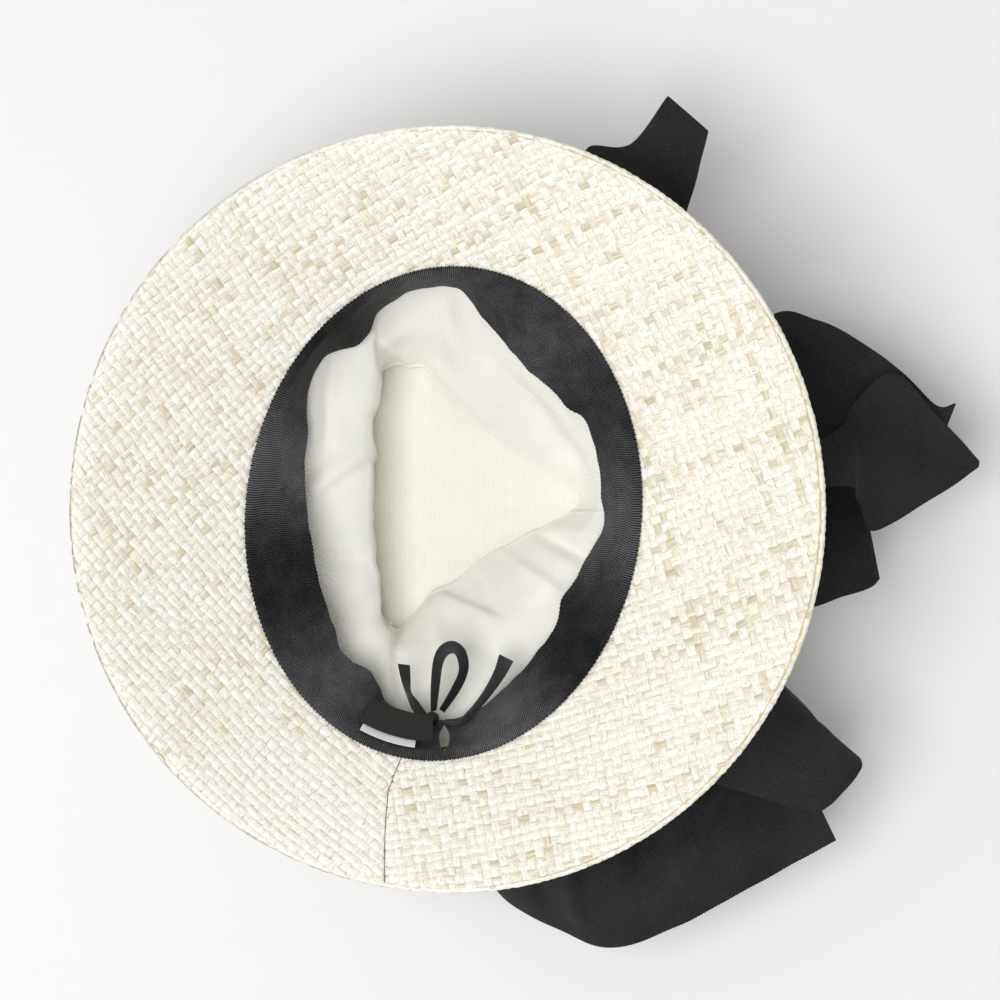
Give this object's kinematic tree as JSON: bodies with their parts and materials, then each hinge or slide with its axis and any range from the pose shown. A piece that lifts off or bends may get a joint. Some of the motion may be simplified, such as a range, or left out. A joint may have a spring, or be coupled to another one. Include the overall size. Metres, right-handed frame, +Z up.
{
  "type": "hat",
  "caption": "Wide-brimmed woven straw hat with a large black ribbon bow, black ribbed sweatband, cream cotton lining and a tied tape at the back, lying upside down on its crown",
  "frame": {"origin": "middle of the crown's flat tip, on the surface that the hat rests on", "axes": "+Z up, out of the head opening; +Y the front of the hat; +X towards the bow"},
  "size_m": [0.3706, 0.352, 0.1388],
  "materials": {
    "straw": "matte",
    "lining_cotton": "matte",
    "sweatband_ribbon": "matte",
    "wide_ribbon": "matte",
    "satin_tape": "satin",
    "label_black": "satin",
    "label_white": "satin"
  },
  "bodies": {
    "root": {"back_label": "label_black", "bow_back_loop": "wide_ribbon", "bow_back_tail": "wide_ribbon", "bow_front_loop": "wide_ribbon", "bow_knot": "wide_ribbon", "bow_side_fold": "wide_ribbon", "bow_side_loop": "wide_ribbon", "bow_side_tail": "wide_ribbon", "brim": "straw", "brim_edge": "straw", "care_label": "label_white", "crown_side": "straw", "crown_tip": "straw", "hat_band": "wide_ribbon", "lining_side": "lining_cotton", "lining_tip": "lining_cotton", "sweatband": "sweatband_ribbon", "tape_knot": "satin_tape", "tape_left_tail": "satin_tape", "tape_loop": "satin_tape", "tape_right_tail": "satin_tape"}
  },
  "joints": []
}
